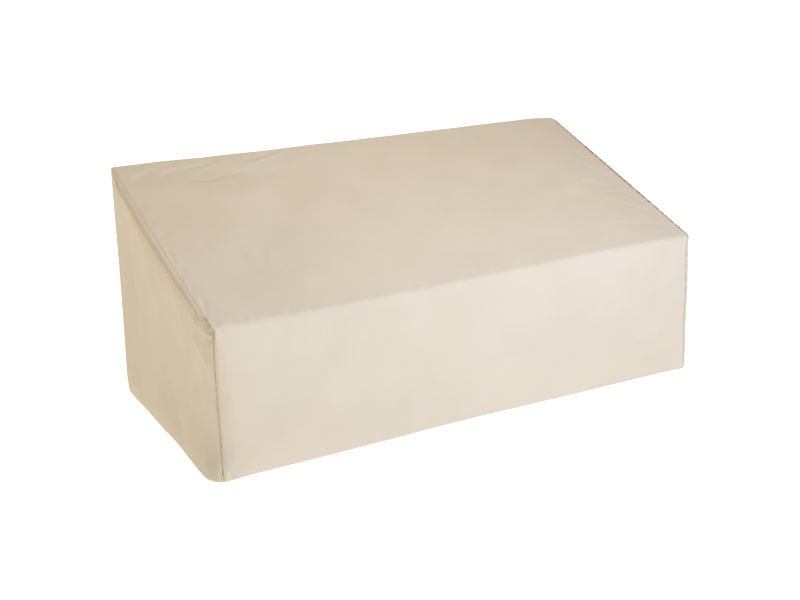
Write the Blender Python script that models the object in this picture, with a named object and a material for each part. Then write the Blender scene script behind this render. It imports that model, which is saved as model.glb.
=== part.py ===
"""Outdoor sofa cover: a fitted wedge of woven cloth, open at the hem.

Three sheets, cut and sewn as on the real cover. One long body panel runs up the front, over a rounded
fold, up the sloping top, over the back edge and down the back. A gusset closes each end. Along each seam
both cloths turn inwards, back to back, as a seam allowance. +X runs along the length, the front faces -Y,
+Z is up, and the origin is the centre of the footprint at the hem. All sizes are in metres.
"""

import math
from collections import namedtuple

import bpy
from mathutils import Vector

# Overall sizes
DEPTH = 0.94
BACK_HEIGHT = 0.88
FRONT_HEIGHT = 0.55
FRONT_FOLD_RADIUS = 0.022
BACK_FOLD_RADIUS = 0.020

# Cloth and sewing
CLOTH_THICKNESS = 0.002
SEAM_GAP = 0.0003
SEAM_ALLOWANCE = 0.008

# How far up from the hem its tuck and its lift reach, and how far the wander of the folds reaches down
TUCK_REACH = 0.080
LIFT_REACH = 0.250
WANDER_REACH = 0.500

# Shares of the depth over which the front and back hems' own shapes fade into the gussets' hems
END_FADE = 0.12
GUSSET_HEM_FADE = 0.10

# How far in from a seam the body cloth takes up its soft folds
SEAM_CALM = 0.080

# Rows of the body panel: places along each flat stretch, as shares of its length, and steps round each fold
FRONT_ROWS = (0.0, 0.05, 0.13, 0.24, 0.36, 0.48, 0.60, 0.71, 0.81, 0.89, 0.955)
SLOPE_ROWS = (0.0, 0.015, 0.04, 0.08, 0.13, 0.19, 0.25, 0.31, 0.375, 0.44, 0.50,
              0.56, 0.625, 0.69, 0.75, 0.81, 0.87, 0.92, 0.96, 0.985)
FOLD_STEPS = 4

# Columns of the body panel: steps round each end's edge, and places across the flat between them
EDGE_STEPS = 4
HALF_COLUMNS = (0.0, 0.012, 0.03, 0.055, 0.09, 0.13, 0.175, 0.22, 0.265, 0.31, 0.355, 0.40, 0.45)

Table = namedtuple("Table", "columns rows")
Seam = namedtuple("Seam", "half_span edge_radius wrap_degrees")
Band = namedtuple("Band", "at_front_hem at_front_top under_slope at_back")
Squareness = namedtuple("Squareness", "at_front_hem up_front under_slope")
Fold = namedtuple("Fold", "panel u_start v_start u_end v_end width height")
Station = namedtuple("Station", "y z normal_y normal_z panel along")

# Each end's seam, place by place along the profile: half the span at the seam, the radius of the rounded edge,
# and the angle through which the body cloth wraps it before it meets the gusset
LEFT_SEAM = {
    "front hem": Seam(0.9945, 0.020, 45.0),
    "front low": Seam(0.9872, 0.132, 38.0),
    "front middle": Seam(0.993, 0.093, 42.0),
    "front high": Seam(1.001, 0.085, 28.0),
    "front top": Seam(1.0005, 0.039, 35.0),
    "slope foot": Seam(1.008, 0.026, 14.0),
    "slope middle": Seam(1.006, 0.024, 10.0),
    "slope head": Seam(1.002, 0.018, 14.0),
    "back top": Seam(0.9965, 0.022, 42.0),
    "back hem": Seam(0.9975, 0.030, 45.0),
}
RIGHT_SEAM = {
    "front hem": Seam(0.9945, 0.030, 24.0),
    "front middle": Seam(0.982, 0.026, 22.0),
    "front top": Seam(0.971, 0.024, 20.0),
    "slope foot": Seam(0.983, 0.024, 12.0),
    "slope middle": Seam(0.982, 0.024, 10.0),
    "slope head": Seam(0.984, 0.018, 14.0),
    "back top": Seam(0.978, 0.024, 42.0),
    "back hem": Seam(0.990, 0.030, 45.0),
}

# How each gusset billows past its seams, at three heights and four depths. The left one flares towards its hem
# and towards its top, so its first row lies below the hem and its last one above the top
BULGE_COLUMNS = ("height_share", "front", "middle", "near_back", "back")
LEFT_BULGE = Table(BULGE_COLUMNS, (
    (-0.3, 0.056, 0.024, 0.014, 0.008),
    (0.45, 0.008, 0.008, 0.004, 0.001),
    (1.35, 0.028, 0.040, 0.036, 0.0055),
))
RIGHT_BULGE = Table(BULGE_COLUMNS, (
    (0.0, 0.020, 0.022, 0.011, 0.008),
    (0.5, 0.019, 0.026, 0.017, 0.014),
    (1.0, 0.014, 0.018, 0.014, 0.014),
))
NEAR_BACK = 0.85

# How wide the rounded edge of each gusset is, next to each of its three seams, and how square its round is:
# 1 is a straight ramp, 2 an ellipse, and above that the gusset leaves the seam level and then turns sharply
LEFT_BAND = Band(0.070, 0.060, 0.022, 0.040)
RIGHT_BAND = Band(0.050, 0.025, 0.018, 0.040)
LEFT_SQUARENESS = Squareness(2.0, 1.2, 2.0)
RIGHT_SQUARENESS = Squareness(2.0, 2.0, 2.0)
HEM_ROUND_REACH = 0.15
ELLIPSE = 2.0

# How the folds and the hems wander along the length, in metres up from their drawn lines
BODY_WANDER = Table(("x", "front_fold", "back_edge", "front_hem", "back_hem"), (
    (-1.00, -0.002, 0.013, -0.001, 0.001),
    (-0.85, -0.007, 0.013, 0.001, 0.000),
    (-0.60, -0.010, 0.007, 0.002, 0.003),
    (-0.35, -0.010, 0.003, 0.006, 0.001),
    (-0.20, -0.008, 0.003, 0.009, 0.004),
    (0.00, -0.0035, 0.000, 0.009, 0.002),
    (0.25, 0.000, -0.002, 0.006, 0.005),
    (0.55, 0.0065, -0.004, 0.004, 0.002),
    (0.85, 0.0075, -0.006, 0.003, 0.001),
    (1.00, 0.003, -0.015, 0.001, 0.004),
))
GUSSET_HEM = Table(("depth_share", "lift"), (
    (0.0, 0.000),
    (0.06, -0.002),
    (0.15, -0.004),
    (0.40, -0.001),
    (0.70, 0.001),
    (1.0, 0.000),
))

# How far the hem is drawn in
BODY_TUCK = Table(("x", "front", "back"), (
    (-1.00, 0.003, 0.006),
    (-0.95, 0.003, 0.005),
    (-0.88, 0.007, 0.003),
    (-0.40, 0.003, 0.005),
    (0.40, 0.004, 0.002),
    (0.88, 0.003, 0.004),
    (1.00, 0.001, 0.006),
))

# Soft folds in the cloth: a ridge or a trough along a straight line, raised (or sunk) by its height and fading
# over its width. On the body, u is X and v runs up the panel, or back along it, from its lower or front edge
BODY_FOLDS = (
    Fold("front", -0.93, 0.16, -0.62, 0.42, 0.070, -0.005),
    Fold("front", -0.80, 0.06, -0.52, 0.30, 0.060, 0.004),
    Fold("front", -0.62, 0.10, -0.18, 0.36, 0.110, -0.003),
    Fold("front", -0.30, 0.06, 0.10, 0.20, 0.090, 0.004),
    Fold("front", 0.05, 0.36, 0.55, 0.26, 0.100, -0.003),
    Fold("front", 0.40, 0.10, 0.86, 0.30, 0.090, 0.004),
    Fold("front", 0.72, 0.44, 0.96, 0.18, 0.050, -0.003),
    Fold("slope", -0.92, 0.90, -0.45, 0.82, 0.050, -0.004),
    Fold("slope", -0.86, 0.78, -0.55, 0.70, 0.050, 0.003),
    Fold("slope", -0.74, 0.30, -0.46, 0.62, 0.090, -0.005),
    Fold("slope", -0.60, 0.20, -0.20, 0.40, 0.100, 0.003),
    Fold("slope", -0.40, 0.50, 0.30, 0.50, 0.240, -0.006),
    Fold("slope", -0.10, 0.14, 0.50, 0.12, 0.080, -0.003),
    Fold("slope", 0.55, 0.60, 0.92, 0.74, 0.070, 0.003),
    Fold("slope", 0.60, 0.34, 0.95, 0.44, 0.060, -0.004),
    Fold("slope", 0.66, 0.18, 0.94, 0.22, 0.050, 0.003),
    Fold("back", -0.60, 0.20, -0.20, 0.70, 0.120, -0.006),
    Fold("back", 0.10, 0.70, 0.50, 0.15, 0.130, -0.006),
    Fold("back", -0.10, 0.10, 0.05, 0.60, 0.100, 0.004),
    Fold("back", 0.62, 0.60, 0.90, 0.30, 0.090, 0.004),
)

# On a gusset, u runs from the front seam to the back and v up from the hem, both as shares of its size
GUSSET_FOLDS = (
    Fold("gusset", 0.04, 0.90, 0.16, 0.45, 0.030, -0.004),
    Fold("gusset", 0.10, 0.80, 0.30, 0.20, 0.050, 0.004),
    Fold("gusset", 0.30, 0.75, 0.38, 0.15, 0.070, -0.005),
    Fold("gusset", 0.55, 0.85, 0.58, 0.10, 0.080, 0.004),
    Fold("gusset", 0.80, 0.90, 0.82, 0.15, 0.060, -0.004),
)

# The corners of the profile, seen from the left end
SLOPE_ANGLE = math.atan2(BACK_HEIGHT - FRONT_HEIGHT, DEPTH)
FRONT_Y = -DEPTH / 2
BACK_Y = DEPTH / 2
FRONT_TURN = math.pi / 2 - SLOPE_ANGLE
BACK_TURN = math.pi / 2 + SLOPE_ANGLE
FRONT_FOLD_TANGENT = FRONT_FOLD_RADIUS * math.tan(FRONT_TURN / 2)
BACK_FOLD_TANGENT = BACK_FOLD_RADIUS * math.tan(BACK_TURN / 2)
SLOPE_LENGTH = DEPTH / math.cos(SLOPE_ANGLE) - FRONT_FOLD_TANGENT - BACK_FOLD_TANGENT
FRONT_LENGTH = FRONT_HEIGHT - FRONT_FOLD_TANGENT
BACK_LENGTH = BACK_HEIGHT - BACK_FOLD_TANGENT

# Where the seam tables' places lie on each part of the profile
SEAM_PLACES = {
    "front": (("front hem", 0.0), ("front low", 0.28 * FRONT_LENGTH), ("front middle", 0.5 * FRONT_LENGTH),
              ("front high", 0.8 * FRONT_LENGTH), ("front top", FRONT_LENGTH)),
    "front fold": (("front top", 0.0), ("slope foot", 1.0)),
    "slope": (("slope foot", 0.0), ("slope middle", 0.5 * SLOPE_LENGTH), ("slope head", SLOPE_LENGTH)),
    "back fold": (("slope head", 0.0), ("back top", 1.0)),
    "back": (("back hem", 0.0), ("back top", BACK_LENGTH)),
}


def smooth_step(t):
    """0 to 1 with level ends."""
    t = min(max(t, 0.0), 1.0)
    return t * t * (3 - 2 * t)


def between(table, at, name):
    """A table's named column, read at a place given by its first one, passing smoothly from row to row."""
    column, rows = table.columns.index(name), table.rows
    if at <= rows[0][0]:
        return rows[0][column]
    for low, high in zip(rows, rows[1:]):
        if at <= high[0]:
            share = smooth_step((at - low[0]) / (high[0] - low[0]))
            return low[column] + share * (high[column] - low[column])
    return rows[-1][column]


def soft_fold(u, v, fold):
    """Height at (u, v) of one soft fold, which fades along its sides and past its ends."""
    run_u, run_v = fold.u_end - fold.u_start, fold.v_end - fold.v_start
    share = ((u - fold.u_start) * run_u + (v - fold.v_start) * run_v) / (run_u ** 2 + run_v ** 2)
    share = min(max(share, 0.0), 1.0)
    off_u, off_v = u - fold.u_start - share * run_u, v - fold.v_start - share * run_v
    return fold.height * math.exp(-(off_u ** 2 + off_v ** 2) / fold.width ** 2)


def folds_at(u, v, panel, folds):
    return sum(soft_fold(u, v, fold) for fold in folds if fold.panel == panel)


def profile_stations():
    """The body panel's rows from the front hem over the top to the back hem."""
    slope_y, slope_z = math.cos(SLOPE_ANGLE), math.sin(SLOPE_ANGLE)
    rows = [Station(FRONT_Y, share * FRONT_LENGTH, -1.0, 0.0, "front", share * FRONT_LENGTH)
            for share in FRONT_ROWS]
    for step in range(FOLD_STEPS):
        angle = math.pi - FRONT_TURN * step / FOLD_STEPS
        rows.append(Station(
            FRONT_Y + FRONT_FOLD_RADIUS * (1 + math.cos(angle)),
            FRONT_LENGTH + FRONT_FOLD_RADIUS * math.sin(angle),
            math.cos(angle), math.sin(angle), "front fold", step / FOLD_STEPS))
    foot_y = FRONT_Y + FRONT_FOLD_TANGENT * slope_y
    foot_z = FRONT_HEIGHT + FRONT_FOLD_TANGENT * slope_z
    for share in SLOPE_ROWS:
        along = share * SLOPE_LENGTH
        rows.append(Station(foot_y + along * slope_y, foot_z + along * slope_z,
                            -slope_z, slope_y, "slope", along))
    for step in range(FOLD_STEPS):
        angle = math.pi / 2 + SLOPE_ANGLE - BACK_TURN * step / FOLD_STEPS
        rows.append(Station(
            BACK_Y - BACK_FOLD_RADIUS * (1 - math.cos(angle)),
            BACK_LENGTH + BACK_FOLD_RADIUS * math.sin(angle),
            math.cos(angle), math.sin(angle), "back fold", step / FOLD_STEPS))
    # The back hem's row mirrors the front hem's, so that both ends of a gusset have as many rows
    for share in (1.0,) + tuple(reversed(FRONT_ROWS)):
        rows.append(Station(BACK_Y, share * BACK_LENGTH, 1.0, 0.0, "back", share * BACK_LENGTH))
    return rows


def seam_at(station, seam):
    """The seam's values at a station, read along the profile between those of its places that the seam has."""
    rows = tuple((where, *seam[name]) for name, where in SEAM_PLACES[station.panel] if name in seam)
    table = Table(("where",) + Seam._fields, rows)
    return Seam(*(between(table, station.along, name) for name in Seam._fields))


def wandered(x, y, z, inward_x, inward_y):
    """A point of the drawn form, moved as the folds and hems wander and the hem is drawn in."""
    depth_share = (y - FRONT_Y) / DEPTH
    roof = FRONT_HEIGHT + depth_share * (BACK_HEIGHT - FRONT_HEIGHT)
    high = smooth_step(1 - (roof - z) / WANDER_REACH)
    fold_rise = between(BODY_WANDER, x, "front_fold")
    edge_rise = between(BODY_WANDER, x, "back_edge")
    rise = high * (fold_rise + depth_share * (edge_rise - fold_rise))
    at_front = 1 - smooth_step(depth_share / END_FADE)
    at_back = 1 - smooth_step((1 - depth_share) / END_FADE)
    lift = at_front * between(BODY_WANDER, x, "front_hem") + at_back * between(BODY_WANDER, x, "back_hem")
    rise += lift * (1 - smooth_step(z / LIFT_REACH))
    tuck = at_front * between(BODY_TUCK, x, "front") + at_back * between(BODY_TUCK, x, "back")
    tuck *= max(0.0, 1 - z / TUCK_REACH) ** 2
    return Vector((x + inward_x * tuck, y + inward_y * tuck, z + rise))


def edge_frame(station, seam_places, side, wrap_share):
    """Point, outward normal and outward tangent on the body's rounded edge, at a share of its wrap."""
    seam = seam_at(station, seam_places)
    full = math.radians(seam.wrap_degrees)
    turn = full * wrap_share
    flat_end = seam.half_span - seam.edge_radius * math.sin(full)
    drop = seam.edge_radius * (1 - math.cos(turn))
    x = side * (flat_end + seam.edge_radius * math.sin(turn))
    y = station.y - station.normal_y * drop
    z = station.z - station.normal_z * drop
    normal = Vector((side * math.sin(turn), station.normal_y * math.cos(turn),
                     station.normal_z * math.cos(turn)))
    tangent = Vector((side * math.cos(turn), -station.normal_y * math.sin(turn),
                      -station.normal_z * math.sin(turn)))
    return wandered(x, y, z, -normal.x, -normal.y), normal, tangent


def body_flat_point(station, share):
    """A point on the body between its rounded edges, with its soft folds."""
    ends = []
    for side, seam_places in ((-1, LEFT_SEAM), (1, RIGHT_SEAM)):
        seam = seam_at(station, seam_places)
        ends.append(side * (seam.half_span - seam.edge_radius * math.sin(math.radians(seam.wrap_degrees))))
    x = ends[0] + share * (ends[1] - ends[0])
    point = wandered(x, station.y, station.z, 0.0, -station.normal_y)
    panel = station.panel
    if panel.endswith("fold"):
        panel, along = "slope", (0.0 if panel == "front fold" else SLOPE_LENGTH)
    else:
        along = station.along
    calm = smooth_step(min(x - ends[0], ends[1] - x) / SEAM_CALM)
    height = calm * folds_at(x, along, panel, BODY_FOLDS)
    return point + height * Vector((0.0, station.normal_y, station.normal_z))


def grid_faces(rows, columns, flipped=False):
    """Triangle pairs over a grid of rows x columns points, all split along the same diagonal."""
    faces = []
    for row in range(rows - 1):
        for column in range(columns - 1):
            a = row * columns + column
            b, c, d = a + 1, a + columns + 1, a + columns
            faces += [(a, b, c), (a, c, d)] if not flipped else [(a, c, b), (a, d, c)]
    return faces


def sheet_object(name, points, faces, material):
    """A sheet drawn by its outer face, thickened inwards."""
    mesh = bpy.data.meshes.new(name)
    mesh.from_pydata([tuple(point) for point in points], [], faces)
    mesh.materials.append(material)
    mesh.shade_smooth()
    piece = bpy.data.objects.new(name, mesh)
    bpy.context.scene.collection.objects.link(piece)
    thick = piece.modifiers.new("Cloth", "SOLIDIFY")
    thick.thickness = CLOTH_THICKNESS
    thick.offset = -1
    thick.use_even_offset = True
    return piece


def body_row(station, columns):
    """One row of the body: allowance, rounded edge, flat, rounded edge, allowance."""
    ends = []
    for side, seam_places in ((-1, LEFT_SEAM), (1, RIGHT_SEAM)):
        seam_point, normal, tangent = edge_frame(station, seam_places, side, 1.0)
        sewn = seam_point - SEAM_GAP / 2 * tangent
        rounded = [edge_frame(station, seam_places, side, 1 - step / EDGE_STEPS)[0]
                   for step in range(1, EDGE_STEPS)]
        ends.append([sewn - SEAM_ALLOWANCE * normal, sewn] + rounded)
    flat = [body_flat_point(station, share) for share in columns]
    return ends[0] + flat + list(reversed(ends[1]))


def body_panel(material):
    """The long cloth, row by row from the front hem over the top to the back hem."""
    columns = HALF_COLUMNS + (0.5,) + tuple(1 - share for share in reversed(HALF_COLUMNS))
    rows = [body_row(station, columns) for station in profile_stations()]
    points = [point for row in rows for point in row]
    return sheet_object("body_panel", points, grid_faces(len(rows), len(rows[0])), material)


def bulge_shape(distance, band, squareness):
    """0 at the seam and 1 beyond the band, with a round of the given squareness."""
    share = min(max(distance / band, 0.0), 1.0)
    return (1 - (1 - share) ** squareness) ** (1 / squareness)


def net_point(a, b, front, back, hem, top, corners):
    """A point of the net stretched between four border points, at shares a across and b up."""
    front_hem, back_hem, front_top, back_top = corners
    return ((1 - a) * front + a * back + (1 - b) * hem + b * top
            - (1 - a) * (1 - b) * front_hem - a * (1 - b) * back_hem
            - (1 - a) * b * front_top - a * b * back_top)


def gusset_panel(name, side, seam_places, bulge, band, squareness, material):
    """One gusset: a net stretched between its three seams and its hem, which billows outwards."""
    frames = [edge_frame(station, seam_places, side, 1.0) for station in profile_stations()]
    rim = [point + SEAM_GAP / 2 * tangent for point, _, tangent in frames]
    turned = [point - SEAM_ALLOWANCE * normal for point, (_, normal, _) in zip(rim, frames)]
    last = len(rim) - 1
    corner = len(FRONT_ROWS) + FOLD_STEPS // 2
    front, top = rim[:corner + 1], rim[corner:last - corner + 1]
    back = list(reversed(rim[last - corner:]))
    corners = (front[0], back[0], front[-1], back[-1])
    up_front, up_back, across = running_shares(front), running_shares(back), running_shares(top)
    hem = [gusset_hem_point(front[0], back[0], share) for share in across]
    points = []
    for j in range(corner + 1):
        for i, a in enumerate(across):
            b = up_front[j] + a * (up_back[j] - up_front[j])
            net = net_point(a, b, front[j], back[j], hem[i], top[i], corners)
            if 0 < i < len(across) - 1 and j < corner:
                band_front = band.at_front_hem + b * (band.at_front_top - band.at_front_hem)
                up_share = smooth_step(b / HEM_ROUND_REACH)
                square_front = squareness.at_front_hem + up_share * (squareness.up_front - squareness.at_front_hem)
                below_top = (top[i].z - net.z) * math.cos(SLOPE_ANGLE)
                rounding = (bulge_shape(net.y - front[j].y, band_front, square_front)
                            * bulge_shape(below_top, band.under_slope, squareness.under_slope)
                            * bulge_shape(back[j].y - net.y, band.at_back, ELLIPSE))
                out = bulge_at(bulge, a, b) + folds_at(a, b, "gusset", GUSSET_FOLDS)
                net.x += side * out * rounding
            points.append(net)
    width = len(across)
    faces = grid_faces(corner + 1, width, flipped=side < 0)
    # The turned allowance runs round the front, top and back borders of the net. Each of its triangle pairs is
    # split as the body's allowance is, which it lies against
    border = ([j * width for j in range(corner + 1)]
              + [corner * width + i for i in range(1, width)]
              + [j * width + width - 1 for j in range(corner - 1, -1, -1)])
    first_turned = len(points)
    for k in range(last):
        a, b = border[k], border[k + 1]
        c, d = first_turned + k + 1, first_turned + k
        faces += [(a, d, b), (b, d, c)] if side < 0 else [(a, b, c), (a, c, d)]
    return sheet_object(name, points + turned, faces, material)


def running_shares(line):
    """Each point's share of a line's running length."""
    lengths = [0.0]
    for before, after in zip(line, line[1:]):
        lengths.append(lengths[-1] + (after - before).length)
    return [length / lengths[-1] for length in lengths]


def gusset_hem_point(front, back, share):
    """A point of the gusset's hem between its two seams."""
    point = front.lerp(back, share)
    at_front = 1 - smooth_step(share / GUSSET_HEM_FADE)
    at_back = 1 - smooth_step((1 - share) / GUSSET_HEM_FADE)
    point.z = at_front * front.z + at_back * back.z + between(GUSSET_HEM, share, "lift")
    return point


def bulge_at(bulge, across, up):
    """How far the gusset billows at a place on it, from the table's heights and depths."""
    front, middle, near_back, back = (between(bulge, up, name) for name in BULGE_COLUMNS[1:])
    return (front + smooth_step(2 * across) * (middle - front)
            + smooth_step((across - 0.5) / (NEAR_BACK - 0.5)) * (near_back - middle)
            + smooth_step((across - NEAR_BACK) / (1 - NEAR_BACK)) * (back - near_back))


def woven_cloth(name):
    """Coated woven polyester in a warm beige."""
    material = bpy.data.materials.new(name)
    material.use_nodes = True
    shader = material.node_tree.nodes["Principled BSDF"]
    shader.inputs["Base Color"].default_value = (0.665, 0.578, 0.450, 1.0)
    shader.inputs["Roughness"].default_value = 0.62
    shader.inputs["Metallic"].default_value = 0.0
    return material


def main():
    for old in list(bpy.data.objects):
        bpy.data.objects.remove(old)
    body_panel(woven_cloth("body_cloth"))
    gusset_panel("side_panel_left", -1, LEFT_SEAM, LEFT_BULGE, LEFT_BAND, LEFT_SQUARENESS,
                 woven_cloth("left_gusset_cloth"))
    gusset_panel("side_panel_right", 1, RIGHT_SEAM, RIGHT_BULGE, RIGHT_BAND, RIGHT_SQUARENESS,
                 woven_cloth("right_gusset_cloth"))


main()
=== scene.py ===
# %% [markdown]
# # A fitted cover for an outdoor sofa
# The real cover is sewn from three flat pieces of coated polyester. One long piece runs up the front, over
# the seat edge, up the sloping top, over the back and down again, and a gusset closes each end. Pulled over a
# sofa it stands taut: long flat planes, soft edges, a fine dark seam with small puckers, and a turned hem.
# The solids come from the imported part. This script dresses each of them in a thin sheet of cloth.

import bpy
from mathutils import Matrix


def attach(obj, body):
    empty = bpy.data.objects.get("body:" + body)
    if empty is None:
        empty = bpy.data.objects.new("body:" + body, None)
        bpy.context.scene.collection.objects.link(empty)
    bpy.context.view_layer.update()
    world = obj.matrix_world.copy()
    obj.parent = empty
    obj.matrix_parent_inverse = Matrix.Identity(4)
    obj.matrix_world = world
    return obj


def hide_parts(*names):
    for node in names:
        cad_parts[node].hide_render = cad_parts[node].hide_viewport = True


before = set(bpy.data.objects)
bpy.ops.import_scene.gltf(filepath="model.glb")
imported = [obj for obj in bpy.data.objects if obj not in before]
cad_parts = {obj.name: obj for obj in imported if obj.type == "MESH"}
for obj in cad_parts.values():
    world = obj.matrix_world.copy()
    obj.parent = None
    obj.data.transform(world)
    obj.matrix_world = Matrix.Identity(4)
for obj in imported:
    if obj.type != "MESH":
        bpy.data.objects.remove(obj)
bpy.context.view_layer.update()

# %% [markdown]
# ## Sizes
# The sheets follow the same drawing as the solids: a wedge seen from its end, rounded at the front fold and
# at the back edge. Every size is in metres. The profile could be drawn as a curve and sampled, but it is
# drawn by its running length instead, as a tailor measures cloth: the length `s` starts at the front hem and
# ends at the back hem, and the direction of the cloth only changes in the two rounded stretches. That makes
# one short table enough for the whole profile, and the same `s` later places seams, creases and weave.

# %% The profile of the cover, by its running length
import math
from collections import namedtuple

import bpy
import numpy as np
from mathutils import Matrix, Vector

DEPTH, BACK_HEIGHT, FRONT_HEIGHT = 0.94, 0.88, 0.55
FRONT_FOLD_RADIUS, BACK_FOLD_RADIUS = 0.022, 0.020
SLOPE_ANGLE = math.atan2(BACK_HEIGHT - FRONT_HEIGHT, DEPTH)
FRONT_TURN, BACK_TURN = math.pi / 2 - SLOPE_ANGLE, math.pi / 2 + SLOPE_ANGLE
FRONT_TANGENT = FRONT_FOLD_RADIUS * math.tan(FRONT_TURN / 2)
BACK_TANGENT = BACK_FOLD_RADIUS * math.tan(BACK_TURN / 2)
LENGTHS = (FRONT_HEIGHT - FRONT_TANGENT, FRONT_FOLD_RADIUS * FRONT_TURN,
           DEPTH / math.cos(SLOPE_ANGLE) - FRONT_TANGENT - BACK_TANGENT,
           BACK_FOLD_RADIUS * BACK_TURN, BACK_HEIGHT - BACK_TANGENT)
STARTS = np.concatenate([[0.0], np.cumsum(LENGTHS)])
FOLD_START, SLOPE_START, EDGE_START, BACK_START, CLOTH_END = STARTS[1:]
HEADINGS = (math.pi / 2, math.pi / 2, SLOPE_ANGLE, SLOPE_ANGLE, -math.pi / 2, -math.pi / 2)
PROFILE_SAMPLES = 6001
FINE = np.linspace(0.0, CLOTH_END, PROFILE_SAMPLES)
STEP = FINE[1]
MIDDLE_HEADING = np.interp(FINE[:-1] + STEP / 2, STARTS, HEADINGS)
FINE_Y = -DEPTH / 2 + np.concatenate([[0.0], np.cumsum(np.cos(MIDDLE_HEADING)) * STEP])
FINE_Z = np.concatenate([[0.0], np.cumsum(np.sin(MIDDLE_HEADING)) * STEP])


def profile(s):
    """Height and depth of the drawn profile, and its outward normal, at running lengths s."""
    heading = np.interp(s, STARTS, HEADINGS)
    return np.interp(s, FINE, FINE_Y), np.interp(s, FINE, FINE_Z), -np.sin(heading), np.cos(heading)


STRETCHES = ("front", "front fold", "slope", "back edge", "back")
print("running lengths (m):", dict(zip(STRETCHES, np.round(LENGTHS, 4).tolist())))

# %% [markdown]
# ## Tables that pass smoothly from row to row
# A cover on a sofa is never quite straight. Its seams, folds and hems wander by a few millimetres, which
# short tables hold. `between` reads a column at any place, and eases from one row to the next with level
# ends, so that no kink shows where two rows meet.

# %% A reader for the tables
Table = namedtuple("Table", "columns rows")


def smooth_step(t):
    """0 to 1 with level ends."""
    t = np.clip(t, 0.0, 1.0)
    return t * t * (3 - 2 * t)


def between(table, at, name):
    """A table's named column, read at places given by its first column."""
    column, rows = table.columns.index(name), table.rows
    value = np.full(np.shape(at), rows[0][column], float)
    for low, high in zip(rows, rows[1:]):
        value += (high[column] - low[column]) * smooth_step((at - low[0]) / (high[0] - low[0]))
    return value


# %% [markdown]
# ## Seams
# At each end the body cloth turns over a rounded edge before it meets the gusset. On the left front corner it
# wraps far round, so that the seam lies on the side. On the slope it hardly wraps at all, so the seam lies on
# top. A table gives each seam's distance from the middle, and the radius and angle of the edge beside it.

# %% Where each seam runs
SEAM_COLUMNS = ("s", "half_span", "edge_radius", "wrap_degrees")
SLOPE_MIDDLE = (SLOPE_START + EDGE_START) / 2
LEFT_SEAM = Table(SEAM_COLUMNS, (
    (0.0, 0.9945, 0.020, 45.0),
    (0.28 * FOLD_START, 0.9872, 0.132, 38.0),
    (0.5 * FOLD_START, 0.993, 0.093, 42.0),
    (0.8 * FOLD_START, 1.001, 0.085, 28.0),
    (FOLD_START, 1.0005, 0.039, 35.0),
    (SLOPE_START, 1.008, 0.026, 14.0),
    (SLOPE_MIDDLE, 1.006, 0.024, 10.0),
    (EDGE_START, 1.002, 0.018, 14.0),
    (BACK_START, 0.9965, 0.022, 42.0),
    (CLOTH_END, 0.9975, 0.030, 45.0),
))
RIGHT_SEAM = Table(SEAM_COLUMNS, (
    (0.0, 0.9945, 0.030, 24.0),
    (0.5 * FOLD_START, 0.982, 0.026, 22.0),
    (FOLD_START, 0.971, 0.024, 20.0),
    (SLOPE_START, 0.983, 0.024, 12.0),
    (SLOPE_MIDDLE, 0.982, 0.024, 10.0),
    (EDGE_START, 0.984, 0.018, 14.0),
    (BACK_START, 0.978, 0.024, 42.0),
    (CLOTH_END, 0.990, 0.030, 45.0),
))
print("seams at the slope's foot (m):",
      [float(between(seam, SLOPE_START, "half_span")) for seam in (LEFT_SEAM, RIGHT_SEAM)])

# %% How the folds and hems wander, and how far the hem is drawn in
BODY_WANDER = Table(("x", "front_fold", "back_edge", "front_hem", "back_hem"), (
    (-1.00, -0.002, 0.013, -0.001, 0.001),
    (-0.85, -0.007, 0.013, 0.001, 0.000),
    (-0.60, -0.010, 0.007, 0.002, 0.003),
    (-0.35, -0.010, 0.003, 0.006, 0.001),
    (-0.20, -0.008, 0.003, 0.009, 0.004),
    (0.00, -0.0035, 0.000, 0.009, 0.002),
    (0.25, 0.000, -0.002, 0.006, 0.005),
    (0.55, 0.0065, -0.004, 0.004, 0.002),
    (0.85, 0.0075, -0.006, 0.003, 0.001),
    (1.00, 0.003, -0.015, 0.001, 0.004),
))
BODY_TUCK = Table(("x", "front", "back"), (
    (-1.00, 0.003, 0.006), (-0.95, 0.003, 0.005), (-0.88, 0.007, 0.003), (-0.40, 0.003, 0.005),
    (0.40, 0.004, 0.002), (0.88, 0.003, 0.004), (1.00, 0.001, 0.006),
))
TUCK_REACH, LIFT_REACH, WANDER_REACH, END_FADE = 0.080, 0.250, 0.500, 0.12


def wandered(point, inward_x, inward_y):
    """Points of the drawn form, moved as the folds and hems wander and the hem is drawn in."""
    x, y, z = (point[..., axis] for axis in range(3))
    depth_share = (y + DEPTH / 2) / DEPTH
    roof = FRONT_HEIGHT + depth_share * (BACK_HEIGHT - FRONT_HEIGHT)
    high = smooth_step(1 - (roof - z) / WANDER_REACH)
    fold_rise, edge_rise = between(BODY_WANDER, x, "front_fold"), between(BODY_WANDER, x, "back_edge")
    rise = high * (fold_rise + depth_share * (edge_rise - fold_rise))
    at_front = 1 - smooth_step(depth_share / END_FADE)
    at_back = 1 - smooth_step((1 - depth_share) / END_FADE)
    lift = at_front * between(BODY_WANDER, x, "front_hem") + at_back * between(BODY_WANDER, x, "back_hem")
    rise = rise + lift * (1 - smooth_step(z / LIFT_REACH))
    tuck = at_front * between(BODY_TUCK, x, "front") + at_back * between(BODY_TUCK, x, "back")
    tuck = tuck * np.clip(1 - z / TUCK_REACH, 0, None) ** 2
    return np.stack([x + inward_x * tuck, y + inward_y * tuck, z + rise], -1)


# %% [markdown]
# ## A place on the rounded edge
# Both cloths meet along the same line, so one function gives it. It returns the point, the outward normal and
# the outward tangent there, and the same at any inset from the seam, measured over the cloth.

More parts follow.
